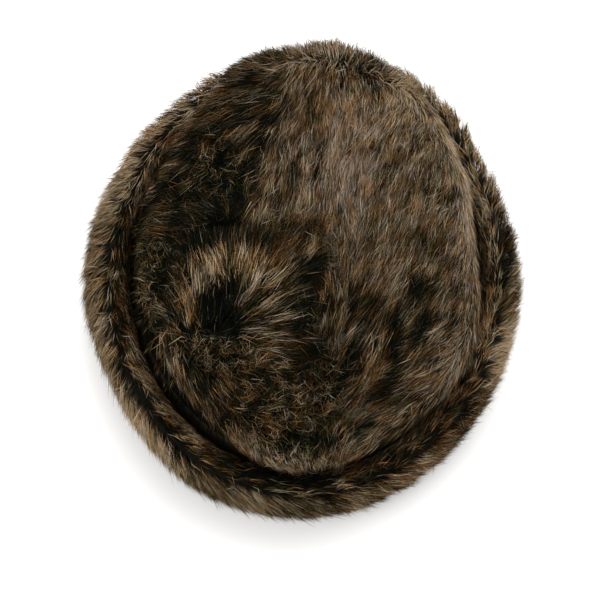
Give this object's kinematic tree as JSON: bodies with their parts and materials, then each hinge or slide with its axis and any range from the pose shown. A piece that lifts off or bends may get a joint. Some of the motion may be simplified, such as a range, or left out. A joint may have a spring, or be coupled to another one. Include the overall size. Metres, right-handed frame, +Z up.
{
  "type": "fur cossack hat",
  "caption": "Soft deep-pile faux-fur hat with a puffed, dented crown and a turned-up fur cuff, standing on its rim.",
  "frame": {"origin": "centre of the whole hat's box, on the plane that its rim rests on", "axes": "+Z up through the crown, +Y towards the back of the hat, +X towards the side whose crown is smooth"},
  "size_m": [0.2457, 0.2673, 0.114],
  "materials": {
    "crown_fur": "deep faux-fur pile in mottled dark brown, tan and black",
    "side_fabric": "dull knitted backing of the fur, very dark brown",
    "cuff_fur": "deep faux-fur pile in dark brown and tan, with a black stripe along the band"
  },
  "bodies": {
    "root": {"crown_top": "crown_fur", "crown_side": "side_fabric", "cuff": "cuff_fur"}
  },
  "joints": []
}
